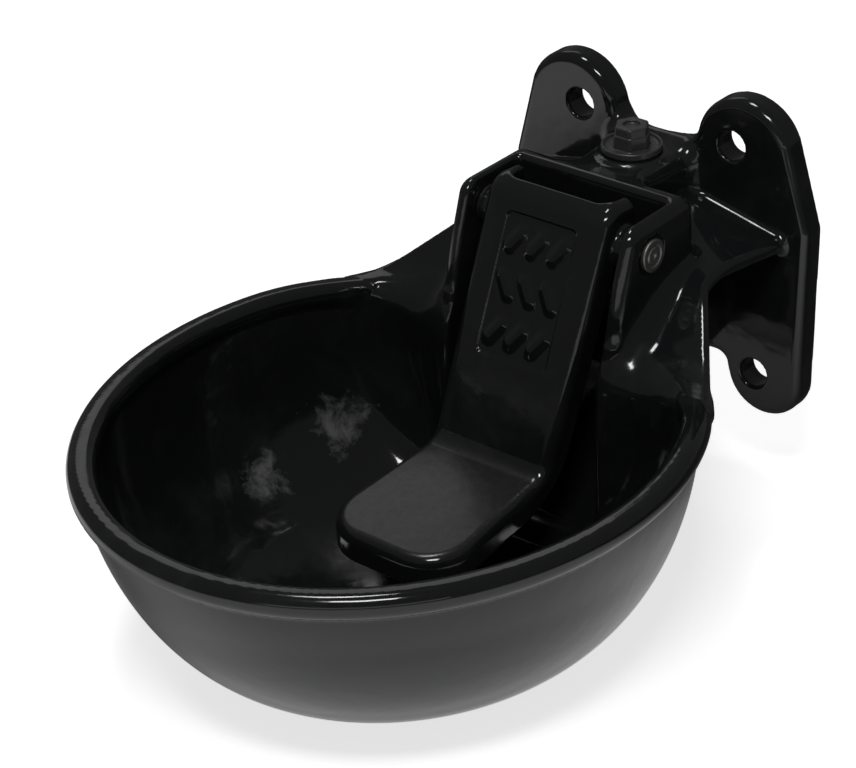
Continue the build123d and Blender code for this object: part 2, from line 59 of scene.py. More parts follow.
# ---------------------------------------------------------------- studio
# A white floor that runs to the horizon, a dim room above it and four soft boxes. Black glass enamel has almost
# no colour of its own, so what it mirrors is what shows: the floor on the bowl's outside, the room on its steep
# faces and the soft boxes as streaks along the rolled edges.

scene = bpy.context.scene
scene.view_settings.view_transform = "Standard"

REACH = 192.0      # mm from the rim's centre to the wall face
RIM_DROP = 58.0    # mm from the upper bolts down to the rim's top plane


def wall_frame(points):
    """Points laid out in mm from the rim's centre, moved to the wall frame and turned into metres."""
    return (np.asarray(points, float) + (0.0, -REACH, -RIM_DROP)) / 1000.0


def linear(hex_colour, alpha=1.0):
    """sRGB hex to linear: below 0.04045 the value over 12.92, above it ((value + 0.055) / 1.055) ** 2.4."""
    channels = [int(hex_colour[i:i + 2], 16) / 255 for i in (1, 3, 5)]
    return tuple(c / 12.92 if c <= 0.04045 else ((c + 0.055) / 1.055) ** 2.4 for c in channels) + (alpha,)


def add_node(tree, kind, links=(), **settings):
    """Adds one node. Settings that name an input set it, others set the node. Links are (input, output)."""
    node = tree.nodes.new(kind)
    for name, value in settings.items():
        label = name.replace("_", " ")
        socket = next((s for s in node.inputs if s.name.lower() == label and s.enabled), None)
        if socket is not None:
            socket.default_value = value
        else:
            setattr(node, name, value)
    for name, output in links:
        tree.links.new(node.inputs[name], output)
    return node


def finish_surface(tree, pattern, colours, gloss, height, strength, depth, **settings):
    """Ends a material. Its colour and roughness run from the first value to the second with the pattern, and
    the height's pattern stands up to depth metres high."""
    tint = add_node(tree, "ShaderNodeMix", data_type="RGBA", links=[(0, pattern)])
    tint.inputs[6].default_value, tint.inputs[7].default_value = map(linear, colours)
    rough = add_node(tree, "ShaderNodeMapRange", links=[("Value", pattern)], to_min=gloss[0], to_max=gloss[1])
    bump = add_node(tree, "ShaderNodeBump", strength=strength, distance=depth, links=[("Height", height)])
    shader = add_node(tree, "ShaderNodeBsdfPrincipled", **settings, links=[
        ("Base Color", tint.outputs[2]), ("Roughness", rough.outputs[0]), ("Normal", bump.outputs["Normal"])])
    add_node(tree, "ShaderNodeOutputMaterial", links=[("Surface", shader.outputs[0])])
    return shader


def new_material(name):
    """Empty node material, and its tree."""
    material = bpy.data.materials.new(name)
    material.use_nodes = True
    material.node_tree.nodes.clear()
    return material, material.node_tree


# A long lens about a metre from the rim's centre, which looks down on the bowl from its front right.
YAW, PITCH, ROLL = 0.73362, 0.52549, -0.05952       # radians off the wall's normal, downwards, and of tilt
HALF_RIM = 125.0                                    # mm
AWAY, ASIDE, ABOVE = 8.34461, 0.12118, 0.09105      # half rims from the rim's centre, along the view's axes
FOCAL, SENSOR = 109.24, 36.0                        # mm

ahead = np.array([-math.sin(YAW) * math.cos(PITCH), math.cos(YAW) * math.cos(PITCH), -math.sin(PITCH)])
level = np.array([math.cos(YAW), math.sin(YAW), 0.0])
upright = np.cross(level, ahead)
right = math.cos(ROLL) * level + math.sin(ROLL) * upright
upward = -math.sin(ROLL) * level + math.cos(ROLL) * upright
eye = (-ahead * AWAY + right * ASIDE + upward * ABOVE) * HALF_RIM
camera = bpy.data.objects.new("camera", bpy.data.cameras.new("camera"))
scene.collection.objects.link(camera)
camera.data.lens = FOCAL
camera.data.sensor_width = SENSOR
camera.data.clip_start = 0.05
camera.data.clip_end = 60.0
turn = np.identity(4)
turn[:3, 0], turn[:3, 1], turn[:3, 2], turn[:3, 3] = right, upward, -ahead, wall_frame(eye)
camera.matrix_world = Matrix(turn.tolist())
scene.camera = camera

# White paper, which the bowl just clears. The camera sees it lit from within up to pure white, but for the
# bowl's shadow.
FLOOR_GAP = 0.0006      # m
HALF_FLOOR = 12.0       # m
floor_z = cad_box[0][2] - FLOOR_GAP
floor_mesh = bpy.data.meshes.new("floor")
corners = [(x * HALF_FLOOR, y * HALF_FLOOR, floor_z) for x, y in ((-1, -1), (1, -1), (1, 1), (-1, 1))]
floor_mesh.from_pydata(corners, [], [(0, 1, 2, 3)])
floor = bpy.data.objects.new("floor", floor_mesh)
scene.collection.objects.link(floor)
paper, tree = new_material("white_paper_floor")
seen = add_node(tree, "ShaderNodeLightPath")
direct = add_node(tree, "ShaderNodeMath", operation="MAXIMUM", links=[
    (0, seen.outputs["Is Camera Ray"]), (1, seen.outputs["Is Transmission Ray"])])
either = add_node(tree, "ShaderNodeMath", operation="MAXIMUM", links=[
    (0, direct.outputs[0]), (1, seen.outputs["Is Glossy Ray"])])
matt = add_node(tree, "ShaderNodeBsdfDiffuse", color=linear("#F4F4F4"))
glow = add_node(tree, "ShaderNodeEmission", color=(1, 1, 1, 1), strength=0.72)
lift = add_node(tree, "ShaderNodeAddShader", links=[(0, matt.outputs[0]), (1, glow.outputs[0])])
# What the enamel mirrors is a sheet of paper in front of the bowl, dark past its edges and behind the wall's
# line.
# To the bowl's left a painted shadow darkens it, standing in for the bowl's own shade there.
place = add_node(tree, "ShaderNodeTexCoord")
axes = add_node(tree, "ShaderNodeSeparateXYZ", links=[("Vector", place.outputs["Object"])])
ahead_of_wall = add_node(tree, "ShaderNodeMapRange", interpolation_type="SMOOTHSTEP",
                         links=[("Value", axes.outputs["Y"])], from_min=0.04, from_max=-0.16)
apart = add_node(tree, "ShaderNodeVectorMath", operation="DISTANCE", links=[(0, place.outputs["Object"])])
apart.inputs[1].default_value = (0.0, -0.30, floor_z)
near = add_node(tree, "ShaderNodeMapRange", interpolation_type="SMOOTHSTEP",
                links=[("Value", apart.outputs["Value"])], from_min=0.85, from_max=0.35, to_min=0.12)
# painted shadow: the floor as the enamel mirrors it is darkened round a point to the bowl's left
left_of_bowl = add_node(tree, "ShaderNodeVectorMath", operation="DISTANCE",
                        links=[(0, place.outputs["Object"])])
left_of_bowl.inputs[1].default_value = (-0.13, -0.25, floor_z)
painted_shadow = add_node(tree, "ShaderNodeMapRange", interpolation_type="SMOOTHSTEP",
                 links=[("Value", left_of_bowl.outputs["Value"])], from_min=0.04, from_max=0.17, to_min=0.15)
sheet_share = add_node(tree, "ShaderNodeMath", operation="MULTIPLY",
                       links=[(0, ahead_of_wall.outputs[0]), (1, near.outputs[0])])
share = add_node(tree, "ShaderNodeMath", operation="MULTIPLY",
                 links=[(0, sheet_share.outputs[0]), (1, painted_shadow.outputs[0])])
dark = add_node(tree, "ShaderNodeEmission", color=(1, 1, 1, 1), strength=0.03)
sheen = add_node(tree, "ShaderNodeEmission", color=(1, 1, 1, 1), strength=0.42)
lit_paper = add_node(tree, "ShaderNodeAddShader", links=[(0, matt.outputs[0]), (1, sheen.outputs[0])])
mirrored = add_node(tree, "ShaderNodeMixShader",
                    links=[(0, share.outputs[0]), (1, dark.outputs[0]), (2, lit_paper.outputs[0])])
mirrored = add_node(tree, "ShaderNodeMixShader",
                    links=[(0, direct.outputs[0]), (1, mirrored.outputs[0]), (2, lift.outputs[0])])
choose = add_node(tree, "ShaderNodeMixShader",
                  links=[(0, either.outputs[0]), (1, matt.outputs[0]), (2, mirrored.outputs[0])])
add_node(tree, "ShaderNodeOutputMaterial", links=[("Surface", choose.outputs[0])])
floor_mesh.materials.append(paper)

world = bpy.data.worlds.new("room")
world.use_nodes = True
tree = world.node_tree
tree.nodes.clear()
seen = add_node(tree, "ShaderNodeLightPath")
dim = add_node(tree, "ShaderNodeBackground", color=linear("#FFFFFF"), strength=0.10)
bright = add_node(tree, "ShaderNodeBackground", color=(1, 1, 1, 1), strength=1.0)
choose = add_node(tree, "ShaderNodeMixShader",
                  links=[(0, seen.outputs["Is Camera Ray"]), (1, dim.outputs[0]), (2, bright.outputs[0])])
add_node(tree, "ShaderNodeOutputWorld", links=[("Surface", choose.outputs[0])])
scene.world = world


def soft_box(name, place, aim, size, power):
    """Rectangular lamp at place, turned so that it shines at aim. Both are in metres in the wall frame."""
    lamp = bpy.data.lights.new(name, "AREA")
    lamp.shape = "RECTANGLE"
    lamp.size, lamp.size_y = size
    lamp.energy = power
    holder = bpy.data.objects.new(name, lamp)
    scene.collection.objects.link(holder)
    back = np.asarray(place, float) - np.asarray(aim, float)
    back /= np.linalg.norm(back)
    side = np.cross((0.0, 0.0, 1.0), back) if abs(back[2]) < 0.99 else np.array([1.0, 0.0, 0.0])
    side /= np.linalg.norm(side)
    pose = np.identity(4)
    pose[:3, 0], pose[:3, 1], pose[:3, 2], pose[:3, 3] = side, np.cross(back, side), back, place
    holder.matrix_world = Matrix(pose.tolist())


# The key and top boxes show as short highlights on rolled edges, the back panel lies on the tongue and along
# the rim's top, and the low front panel lights upright edges.
MIDDLE = (0.0, -0.16, -0.08)
for name, place, size, power in (
        ("key_box", (0.47, -0.83, 1.18), (0.42, 0.22), 7.0),
        ("top_box", (-0.30, -0.10, 1.5), (0.35, 0.25), 5.0),
        ("back_panel", (-0.985, 0.667, 0.872), (0.75, 0.42), 0.66),
        ("front_panel", (0.92, -1.47, 0.03), (1.8, 0.30), 1.3)):
    soft_box(name, place, MIDDLE, size, power)

# ---------------------------------------------------------------- bowl casting
# One grey-iron sand casting: bowl with a rolled rim, sloping shoulder, hood for the paddle, neck with the water
# way and a lugged back plate. It is dipped in black glass enamel, which rounds every corner. Its surface is
# where a distance field is zero, so that all of it flows together as the casting does.


def fillet(first, second, radius):
    """Union of two distance fields whose inner corner is a circular fillet: radius less the distance from the
    corner's centre, where both fields are under radius."""
    corner = np.hypot(np.maximum(radius - first, 0.0), np.maximum(radius - second, 0.0))
    return np.maximum(radius, np.minimum(first, second)) - corner


def rounded(first, second, radius):
    """Intersection of two distance fields whose outer corner is a circular arc of the given radius."""
    corner = np.hypot(np.maximum(radius + first, 0.0), np.maximum(radius + second, 0.0))
    return np.minimum(-radius, np.maximum(first, second)) + corner


def outline_distance(u, v, corners):
    """Signed distance to a closed polygon: the least distance to an edge, negative where an odd number of
    edges cross the ray that leaves the point along u."""
    least = np.full(u.shape, np.inf)
    within = np.zeros(u.shape, bool)
    for (u0, v0), (u1, v1) in zip(corners, corners[1:] + corners[:1]):
        du, dv = u1 - u0, v1 - v0
        share = np.clip(((u - u0) * du + (v - v0) * dv) / (du * du + dv * dv), 0.0, 1.0)
        least = np.minimum(least, np.hypot(u - u0 - share * du, v - v0 - share * dv))
        if dv:
            within ^= ((v0 > v) != (v1 > v)) & (u < u0 + (v - v0) * du / dv)
    return np.where(within, -least, least)


def rod(radius, first, second, along, low, high):
    """Round bar: the distance from its axis less the radius, met by the distance past its ends."""
    return np.maximum(np.hypot(first, second) - radius, np.maximum(low - along, along - high))


# All in mm from the rim's centre: X to the right as one faces the wall, Y to the wall and Z up.
LONGER = 1.088                          # the bowl's plan is an ellipse, longer than wide by this factor
CUP_HALF, CUP_DEPTH = 120.46, 97.8      # outside of the cup: half its width, and its depth
HOLLOW_HALF, HOLLOW_DEPTH = 115.46, 92.8
CUP_TOP = -8.0                          # where the cup's upright wall begins to curve
BACKWARD = 6.2                          # the cup's lowest point lies this far behind its centre
ROUND, SINK = 4, 1.632                  # powers of the cup's profile
REAR_WALL, REAR_BACK = 85.0, 91.0       # faces of the bowl's flat rear wall
SHELF = -4.5                            # top of the cup, and of the shelf behind it
BEAD_MIDDLE, BEAD_HALF, BEAD_DEEP = 118.9, 6.05, 5.4    # the rim's roll: half its span, width and height
BEAD_SINKS, BEAD_END = 40.0, 93.0       # where the roll starts to sink, and where it ends in the shoulder
SHEET_HALF = 3.5                        # half the thickness of shoulder and web
SHOULDER_RISE = 0.64                    # tangent of the shoulder's slope
WEB_TOP = 24.0
HOOD_HALF, HOOD_BACK, HOOD_TOP = 47.0, 145.5, 51.0
HOOD_FOOT, HOOD_LEAN = 84.5, 0.355      # the cheeks' front edges: their foot, and the tangent of their lean
CHAMBER_HALF, CHAMBER_BACK, CHAMBER_LOW = 40.0, 134.8, -82.0
PORT_Y = 164.0                          # axis of the neck's two ports
PORT_RADIUS, WATER_WAY, VALVE_BORE = 10.3, 8.0, 10.5
PLATE_FRONT, PLATE_ROUND = 180.0, 10.0
UPPER_LUG, LOWER_LUG = (45.5, 56.0, 24.25), (57.5, -50.0, 19.2)     # X, Z and radius
UPPER_BOLT, LOWER_BOLT, BOLT_RADIUS = (40.3, 58.0), (53.0, -49.3), 7.0
VALVE_Z = -5.0                          # height of the valve's axis
PIN_Y, PIN_Z, PIN_BORE, SPOT_FACE = 114.0, 36.0, 5.0, 8.4
PIPE_Y, PIPE_RADIUS = 216.5, 30.5       # the saddle for a pipe down the plate's back
SHOULDER_PLAN = [(-20, 82), (99, 82), (67.3, 125.5), (62.8, 132), (62.8, 140), (69.5, 184), (-20, 184)]
PLATE_OUTLINE = [(-30, 44.5), (40, 44.5), (46, 62), (58.9, 61.1), (69.2, 24.3), (66.7, -50), (57.5, -50),
                 (44, -35), (-30, -35)]


def bowl_wall(x, y, z, half_width, depth):
    """Distance to the curve (r / half_width)^4 + (sink / depth)^1.632 = 1, found as its value over its slope.
    r is measured with Y shrunk by the plan's length over its width, and the lowest point leans back."""
    sink = np.maximum(CUP_TOP - z, 0.0) / depth
    v = (y - BACKWARD * sink) / LONGER
    r = np.hypot(x, v)
    value = (r / half_width) ** ROUND + sink**SINK - 1.0
    shrink = np.hypot(x, v / LONGER) / np.maximum(r, 1e-6)
    slope = np.hypot(ROUND * r**3 / half_width**ROUND * shrink, SINK * sink**0.632 / depth)
    return value / np.maximum(slope, 0.012)


def casting_distance(x, y, z):
    """Distance field of the casting, in mm from the rim's centre. The last number in each call of fillet and
    rounded is the corner's radius."""
    beside = np.abs(x)
    # bowl with its flat rear wall
    cup = rounded(bowl_wall(x, y, z, CUP_HALF, CUP_DEPTH), y - REAR_BACK, 20.0)
    hollow = rounded(bowl_wall(x, y, z, HOLLOW_HALF, HOLLOW_DEPTH), y - REAR_WALL, 16.0)
    body = np.maximum(cup, z - SHELF)
    # rolled rim, which sinks towards the shelf at its ends
    r = np.hypot(x, y / LONGER)
    away = (r - BEAD_MIDDLE) / (np.hypot(x, y / LONGER**2) / np.maximum(r, 1e-6))
    sunk = z + BEAD_DEEP + 4.6 * np.clip((y - BEAD_SINKS) / 52.0, 0.0, 1.0) ** 2
    bead = rounded(rounded(np.abs(away) - BEAD_HALF, np.abs(sunk) - BEAD_DEEP, 4.9), y - BEAD_END, 4.0)
    # shoulder and web: a sheet 7 mm thick that rises to the web and, at the plate, towards the neck
    slope = fillet(((z - CUP_TOP) - SHOULDER_RISE * (y - 86.0)) / 1.187, z - SHELF, 8.0)
    climb = np.clip((y - 136.0) / 34.0, 0.0, 1.0)
    level = z - WEB_TOP + climb * (1.5 - 0.23 * np.maximum(67.0 - beside, 0.0))
    top = rounded(slope, level, 10.0)
    slab = np.abs(top + SHEET_HALF) - SHEET_HALF
    slab = rounded(slab, outline_distance(beside, y, SHOULDER_PLAN), 3.3)
    # the bowl's hollow, whose rear edge rolls over into the shoulder
    rolled = fillet(hollow, np.maximum(-top, HOOD_FOOT - y), np.interp(beside, [62.0, 88.0], [16.0, 6.0]))
    body = np.maximum(np.minimum(body, slab), -rolled)
    body = fillet(body, bead, np.interp(y, [62.0, 90.0], [1.8, 5.0]))
    # hood: cheeks, crossbar and sloping bottom
    front = (HOOD_FOOT + HOOD_LEAN * (z - 2.0) - y) / 1.061
    under = (-88.0 + 0.83 * (y - 91.0) - z) / 1.3
    block = rounded(rounded(front, 84.0 - y, 12.0), np.maximum(y - HOOD_BACK, under), 4.5)
    block = rounded(block, beside - HOOD_HALF, 5.5)
    # neck, widening to the plate, and the boss of its lower port
    column = np.maximum(beside - (18.5 + 0.09 * (y - 145.0)), np.maximum(138.0 - y, y - 184.0))
    column = np.maximum(column, -50.0 - z)
    inlet = rounded(np.hypot(x, y - PORT_Y) - 16.5, np.maximum(-62.0 - z, z + 30.0), 2.0)
    # back plate: its middle, and two pairs of round lugs that blend into it on their inner sides only
    sheet = outline_distance(beside, z, PLATE_OUTLINE) - PLATE_ROUND
    lugs = np.minimum(*(np.hypot(beside - u, z - v) - radius for u, v, radius in (UPPER_LUG, LOWER_LUG)))
    inner = beside < np.where(z > 0, UPPER_LUG[0], LOWER_LUG[0])
    sheet = np.where(inner, fillet(sheet, lugs, 7.0), np.minimum(sheet, lugs))
    plate = rounded(rounded(sheet, PLATE_FRONT - y, 4.5), y - REACH, 1.2)
    # joined together
    rear = rounded(fillet(column, block, 7.0), z - HOOD_TOP, 6.5)
    rear = fillet(rear, inlet, 6.0)
    rear = fillet(rear, plate, 8.0)
    body = fillet(body, rear, np.interp(y, [100.0, 140.0, 175.0], [13.0, 6.0, 3.5]))
    # the chamber where the paddle hangs, the valve's pad on its rear wall and the upper port's boss
    floor_slope = np.maximum(CHAMBER_LOW - z, (CHAMBER_LOW + 0.9167 * (y - 88.0) - z) / 1.357)
    void = rounded(np.maximum(floor_slope, y - CHAMBER_BACK), beside - CHAMBER_HALF, 2.5)
    body = rounded(body, -np.maximum(void, 70.0 - y), 2.8)
    pad = rounded(np.hypot(x, z - VALVE_Z) - 16.0, 132.0 - y, 1.5)
    body = fillet(body, np.maximum(pad, y - 140.0), 2.5)
    boss = rounded(np.hypot(x, y - PORT_Y) - 14.5, np.abs(z - 47.6) - 4.0, 0.5)
    body = fillet(body, boss, 3.0)
    # bolt holes, pipe saddle, water way, valve bore, pin bore and the pin head's spot face
    holes = np.minimum(*(np.hypot(beside - u, z - v) for u, v in (UPPER_BOLT, LOWER_BOLT))) - BOLT_RADIUS
    body = rounded(body, -np.maximum(holes, 150.0 - y), 1.2)
    body = rounded(body, -(np.hypot(x, y - PIPE_Y) - PIPE_RADIUS), 2.0)
    body = np.maximum(body, -rod(PORT_RADIUS, x, y - PORT_Y, z, 38.0, 90.0))
    body = rounded(body, -rod(PORT_RADIUS, x, y - PORT_Y, z, -90.0, -47.0), 0.8)
    body = np.maximum(body, -rod(WATER_WAY, x, y - PORT_Y, z, -70.0, 60.0))
    body = np.maximum(body, -rod(VALVE_BORE, x, z - VALVE_Z, y, 100.0, 171.8))
    body = np.maximum(body, -(np.hypot(y - PIN_Y, z - PIN_Z) - PIN_BORE))
    return rounded(body, -rod(SPOT_FACE, y - PIN_Y, z - PIN_Z, x, 46.0, 80.0), 0.5)


def steps(*stops):
    """Grid lines along one axis: from each stop to the next in equal steps of about the size between them."""
    lines = [np.array([float(stops[0])])]
    for start, step, end in zip(stops[0::2], stops[1::2], stops[2::2]):
        lines.append(np.linspace(start, end, int(round((end - start) / step)) + 1)[1:])
    return np.concatenate(lines)


def slope_of(field, points):
    """Gradient of a field by central differences 0.1 mm each way."""
    reach = 0.1
    parts = []
    for axis in range(3):
        shift = np.zeros(3)
        shift[axis] = reach
        parts.append((field(*(points + shift).T) - field(*(points - shift).T)) / (2 * reach))
    return np.stack(parts, 1)


def settled(field, points):
    """Slides the points, in place, down the field's slope until the field is zero at them, and returns the
    slope's direction there, which is the surface's normal."""
    for _ in range(4):
        slope = slope_of(field, points)
        length = np.maximum((slope**2).sum(1), 0.05)
        points += np.clip(-field(*points.T)[:, None] * slope / length[:, None], -1.0, 1.0)
    slope = slope_of(field, points)
    return slope / np.maximum(np.linalg.norm(slope, axis=1), 1e-6)[:, None]


def skin(field, xs, ys, zs):
    """Closed surface where the field is zero, as surface nets. Each grid cell that it crosses gets one point,
    the mean of the crossings on the cell's edges, and each grid edge that it crosses gets a quad between the
    four cells round it. The points then slide down the field's slope until the field is zero at them."""
    grid = np.stack(np.meshgrid(xs, ys, zs, indexing="ij"), -1)
    value = field(grid[..., 0], grid[..., 1], grid[..., 2])
    cells = tuple(n - 1 for n in value.shape)
    total = np.zeros(cells + (3,))
    count = np.zeros(cells)
    crossings = []
    for axis in range(3):
        low = tuple(slice(0, -1) if a == axis else slice(None) for a in range(3))
        high = tuple(slice(1, None) if a == axis else slice(None) for a in range(3))
        before, after = value[low], value[high]
        crossed = (before < 0) != (after < 0)
        share = np.where(crossed, before / np.where(crossed, before - after, 1.0), 0.0)[..., None]
        place = (grid[low] * (1 - share) + grid[high] * share) * crossed[..., None]
        first, second = [a for a in range(3) if a != axis]
        for i in (0, 1):
            for j in (0, 1):
                pick = [slice(None)] * 3
                pick[first] = slice(i, i + cells[first])
                pick[second] = slice(j, j + cells[second])
                total += place[tuple(pick)]
                count += crossed[tuple(pick)]
        crossings.append((crossed, before < 0, first, second))
    used = count > 0
    number = np.full(cells, -1)
    number[used] = np.arange(used.sum())
    points = total[used] / count[used][:, None]
    quads = []
    for axis, (crossed, rising, first, second) in enumerate(crossings):
        inner = [slice(None)] * 3
        inner[first] = inner[second] = slice(1, -1)
        where = np.argwhere(crossed[tuple(inner)])
        where[:, first] += 1
        where[:, second] += 1
        corners = []
        for i, j in ((1, 1), (0, 1), (0, 0), (1, 0)):
            cell = where.copy()
            cell[:, first] -= i
            cell[:, second] -= j
            corners.append(number[tuple(cell.T)])
        quad = np.stack(corners, 1)
        flip = rising[tuple(where.T)] ^ (axis != 1)
        quad[flip] = quad[flip][:, ::-1]
        quads.append(quad)
    quads = np.concatenate(quads)
    return points, quads, settled(field, points)


def thinned(field, points, faces, most):
    """The same surface with at most that many triangles, by collapsing the edges of its flattest parts. The
    points left over slide back onto the surface, and their normals are the field's slope there."""
    mesh = bpy.data.meshes.new("dense")
    faces = np.concatenate([faces[:, [0, 1, 2]], faces[:, [0, 2, 3]]])
    mesh.from_pydata(points.tolist(), [], faces.tolist())
    dense = bpy.data.objects.new("dense", mesh)
    scene.collection.objects.link(dense)
    thinner = dense.modifiers.new("thin", "DECIMATE")
    thinner.ratio = most / len(faces)
    thinner.use_collapse_triangulate = True
    thin = bpy.data.meshes.new_from_object(dense.evaluated_get(bpy.context.evaluated_depsgraph_get()))
    points = np.empty(len(thin.vertices) * 3)
    thin.vertices.foreach_get("co", points)
    points = points.reshape(-1, 3)
    faces = np.empty(len(thin.polygons) * 3, int)
    thin.polygons.foreach_get("vertices", faces)
    bpy.data.objects.remove(dense)
    bpy.data.meshes.remove(mesh)
    bpy.data.meshes.remove(thin)
    return points, faces.reshape(-1, 3), settled(field, points)


def piece(name, points, faces, normals, body, slot, *nodes):
    """Mesh object with its place in its mesh, riding on a body and standing for the named solids."""
    mesh = bpy.data.meshes.new(name)
    mesh.from_pydata(wall_frame(points).tolist(), [], faces.tolist())
    mesh.update()
    mesh.shade_smooth()
    mesh.normals_split_custom_set_from_vertices(normals.tolist())
    made = bpy.data.objects.new(name, mesh)
    scene.collection.objects.link(made)
    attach(made, body)
    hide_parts(*nodes)
    return made


# Vitreous enamel fired on cast iron: a glass coat, so a dielectric of IOR 1.5 and low roughness. Fired glass is
# not dead flat: it keeps waves 9 mm long and a grain of 2 mm from the iron's skin, and water dries on it as
# faint cloudy scale.
enamel, tree = new_material("black_glass_enamel")
place = add_node(tree, "ShaderNodeTexCoord")
waves = add_node(tree, "ShaderNodeTexNoise", scale=1 / 0.009, detail=1.0, roughness=0.4,
                 links=[("Vector", place.outputs["Object"])])
skin_grain = add_node(tree, "ShaderNodeTexNoise", scale=1 / 0.0022, detail=2.0, roughness=0.6,
                      links=[("Vector", place.outputs["Object"])])
wavy = add_node(tree, "ShaderNodeBump", strength=0.22, distance=0.0006,
                links=[("Height", waves.outputs["Fac"])])
grainy = add_node(tree, "ShaderNodeBump", strength=0.10, distance=0.0001,
                  links=[("Height", skin_grain.outputs["Fac"]), ("Normal", wavy.outputs["Normal"])])
clouds = add_node(tree, "ShaderNodeTexNoise", scale=1 / 0.055, detail=5.0, roughness=0.68, distortion=0.6,
                  links=[("Vector", place.outputs["Object"])])
scale_share = add_node(tree, "ShaderNodeMapRange", links=[("Value", clouds.outputs["Fac"])], from_min=0.50,
                       from_max=0.78)
gloss = add_node(tree, "ShaderNodeMapRange", links=[("Value", scale_share.outputs[0])], to_min=0.085,
                 to_max=0.26)
tint = add_node(tree, "ShaderNodeMix", data_type="RGBA", links=[(0, scale_share.outputs[0])])
tint.inputs[6].default_value = linear("#161718")
tint.inputs[7].default_value = linear("#242524")
# two palms of dried scale on the bowl's left inner wall, their edges broken up by a blotchy grain
grain = add_node(tree, "ShaderNodeTexNoise", scale=1 / 0.012, detail=9.0, roughness=0.72, distortion=0.4,
                 links=[("Vector", place.outputs["Object"])])
stain = grain
for centre, reach in (((-0.094, -0.177, -0.132), 0.027), ((-0.084, -0.133, -0.120), 0.032)):
    apart = add_node(tree, "ShaderNodeVectorMath", operation="DISTANCE", links=[(0, place.outputs["Object"])])
    apart.inputs[1].default_value = centre
    fade = add_node(tree, "ShaderNodeMapRange", interpolation_type="SMOOTHSTEP",
                    links=[("Value", apart.outputs["Value"])], from_min=reach, from_max=0.0, to_max=0.34)
    stain = add_node(tree, "ShaderNodeMath", operation="ADD",
                     links=[(0, stain.outputs[0]), (1, fade.outputs[0])])
stain_share = add_node(tree, "ShaderNodeMapRange", links=[("Value", stain.outputs[0])], from_min=0.72,
                       from_max=0.92)
shape = add_node(tree, "ShaderNodeNewGeometry")
facing = add_node(tree, "ShaderNodeSeparateXYZ", links=[("Vector", shape.outputs["Normal"])])
inner_side = add_node(tree, "ShaderNodeMapRange", links=[("Value", facing.outputs["X"])], from_min=0.2,
                      from_max=0.4)
stain_share = add_node(tree, "ShaderNodeMath", operation="MULTIPLY",
                       links=[(0, stain_share.outputs[0]), (1, inner_side.outputs[0])])
stained = add_node(tree, "ShaderNodeMix", data_type="RGBA",
                   links=[(0, stain_share.outputs[0]), (6, tint.outputs[2])])
stained.name = "dried scale"
stained.inputs[7].default_value = linear("#5C5E5C")
shader = add_node(tree, "ShaderNodeBsdfPrincipled", ior=1.5, links=[
    ("Base Color", stained.outputs[2]), ("Roughness", gloss.outputs[0]), ("Normal", grainy.outputs["Normal"])])
add_node(tree, "ShaderNodeOutputMaterial", links=[("Surface", shader.outputs[0])])

MOST_TRIANGLES = 190000     # of the casting's mesh
points, quads, normals = skin(
    casting_distance, steps(-127.0, 1.35, 127.0), steps(-139.0, 2.0, 78.0, 1.25, 195.0),
    steps(-110.0, 2.0, -70.0, 1.3, 86.0))
points, triangles, normals = thinned(casting_distance, points, quads, MOST_TRIANGLES)
casting = piece("bowl_casting_enamelled", points, triangles, normals, "bowl", "enamel", "bowl_casting")
casting.data.materials.append(enamel)

# ---------------------------------------------------------------- paddle
# The tongue that the animal pushes: a bent iron casting with side skirts, enamelled with the bowl. A raised
# panel of blunt ribs gives the muzzle grip. Two bosses behind it carry the pin and one boss pushes the valve.

BEND_Y, BEND_Z = 58.0, -50.5            # mm, where the upright face bends into the tongue
LEAN_SIN, LEAN_COS = 0.4109, 0.9117     # of the face's lean off upright
TONGUE_RISE = 0.0753                    # tangent of the tongue's slope
BAR_THICK, BAR_WALL = 14.0, 5.0         # mm over the skirts, and of their wall
PANEL_HALF, PANEL_UP, PANEL_REACH = 18.6, 73.0, 31.0    # mm: half width, middle up the face, half height
ROW_STEP, COLUMN_STEP = 20.0, 11.4      # mm between the ribs
RIB_LEAN = 0.6                          # radians
RIB_HALF, RIB_ROUND, RIB_DEEP = 4.2, 4.3, 3.9   # mm: half its straight part, its radius, its axis's depth
NOTCH_HALF = 26.0                       # mm, of the cap's cut between the skirts


